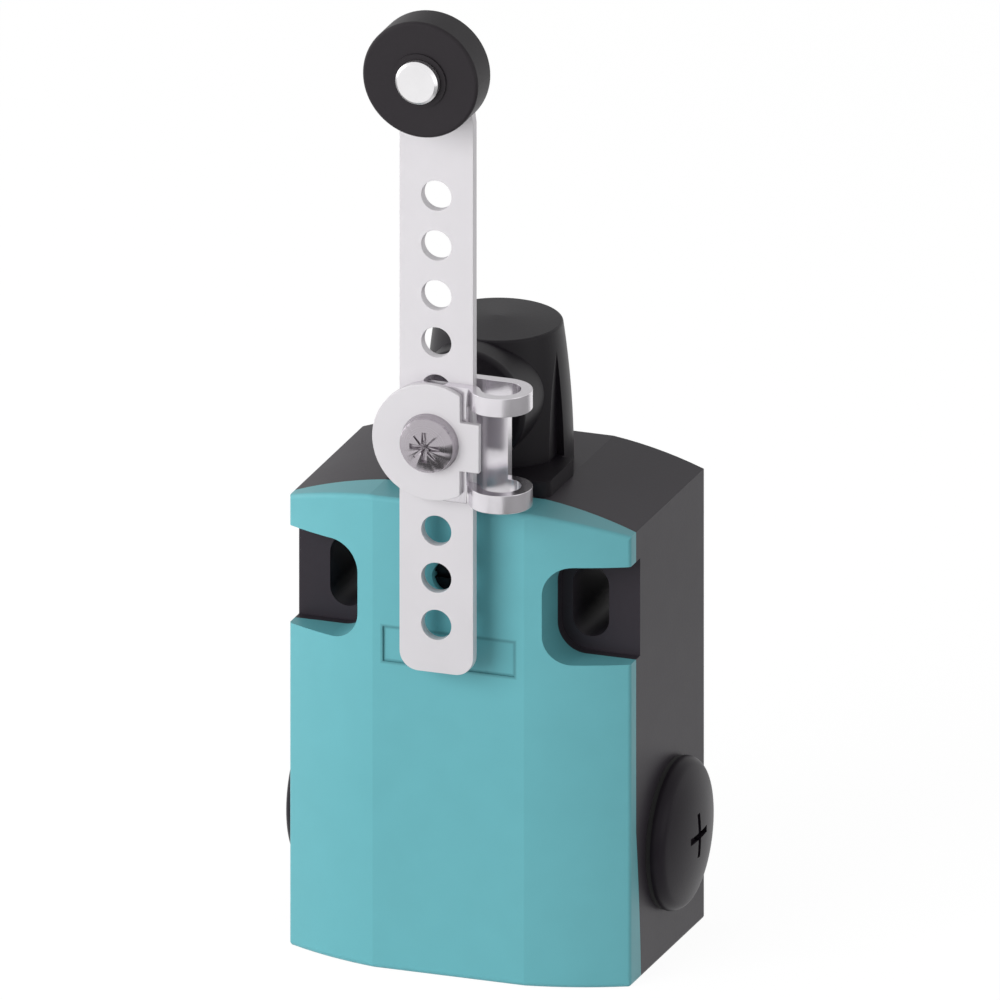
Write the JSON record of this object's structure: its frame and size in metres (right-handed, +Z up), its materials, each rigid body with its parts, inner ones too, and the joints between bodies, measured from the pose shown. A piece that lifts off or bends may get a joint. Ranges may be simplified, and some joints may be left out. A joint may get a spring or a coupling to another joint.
{
  "type": "position switch",
  "caption": "Limit switch with a moulded enclosure, side cable entries, a rotary head and an adjustable perforated lever that carries a roller.",
  "frame": {"origin": "on the mounting face at the back, midway between the centres of the fixing slots", "axes": "+Z up along the enclosure, -Y out of the front cover, +X to the right seen from the front"},
  "size_m": [0.0582, 0.0474, 0.1439],
  "materials": {
    "housing_plastic": "fine satin moulding, dark grey",
    "cover_plastic": "satin moulding, blue-green",
    "head_plastic": "satin moulding, black",
    "plug_plastic": "satin moulding, black",
    "roller_plastic": "turned plastic, black",
    "block_plastic": "moulded thermoset, cream",
    "plunger_plastic": "moulded, white",
    "fork_plastic": "moulded, red",
    "seal_rubber": "moulded rubber, black",
    "contact_brass": "stamped brass",
    "spring_steel": "drawn spring wire",
    "zinc_steel": "zinc plated steel",
    "turned_steel": "turned steel",
    "lever_steel": "satin stamped steel sheet",
    "bracket_steel": "polished bent steel sheet",
    "screw_steel": "polished steel",
    "pin_steel": "turned steel pin",
    "dark_screw": "blackened steel"
  },
  "bodies": {
    "enclosure": {"housing": "housing_plastic", "front_cover": "cover_plastic", "cover_gasket": "seal_rubber", "cover_screw": "dark_screw", "left_entry_plug": "plug_plastic", "right_entry_plug": "plug_plastic", "left_plug_seal": "seal_rubber", "right_plug_seal": "seal_rubber", "contact_block": "block_plastic", "upper_left_terminal": "contact_brass", "upper_right_terminal": "contact_brass", "lower_left_terminal": "contact_brass", "lower_right_terminal": "contact_brass", "terminal_clamps": "zinc_steel", "terminal_screws": "zinc_steel", "contact_spring": "spring_steel", "head_housing": "head_plastic", "head_lock_fork": "fork_plastic", "shaft_bush": "contact_brass", "shaft_seal": "seal_rubber", "tappet_spring": "spring_steel"},
    "lever": {"lever_shaft": "turned_steel", "shaft_clip": "spring_steel", "shaft_cam": "turned_steel", "clamp_bracket": "bracket_steel", "spacer_washer": "zinc_steel", "lever_bar": "lever_steel", "clamp_disc": "lever_steel", "clamp_screw": "screw_steel", "roller_pin": "pin_steel", "roller_washer": "zinc_steel"},
    "roller": {"lever_roller": "roller_plastic"},
    "tappet": {"head_tappet": "plunger_plastic"},
    "contact_carrier": {"contact_plunger": "plunger_plastic", "contact_bridge": "contact_brass"}
  },
  "joints": [
    {"name": "lever_swing", "type": "hinge", "parent": "enclosure", "child": "lever", "pos_m": [0, -0.014, 0.02645], "axis": [0, 1, 0], "range_deg": [-80, 80], "stiffness_Nm_per_rad": 0.02},
    {"name": "roller_spin", "type": "hinge", "parent": "lever", "child": "roller", "pos_m": [0, -0.043, 0.08095], "axis": [0, 1, 0], "continuous": true},
    {"name": "tappet_slide", "type": "slide", "parent": "enclosure", "child": "tappet", "axis": [0, 0, -1], "range_m": [0, 0.002], "stiffness_N_per_m": 400, "deforming": ["tappet_spring"]},
    {"name": "contact_slide", "type": "slide", "parent": "enclosure", "child": "contact_carrier", "axis": [0, 0, -1], "range_m": [0, 0.002], "stiffness_N_per_m": 200, "deforming": ["contact_spring"]}
  ],
  "couplings": [
    {"joint": "contact_slide", "follows": "tappet_slide", "ratio": 1}
  ]
}
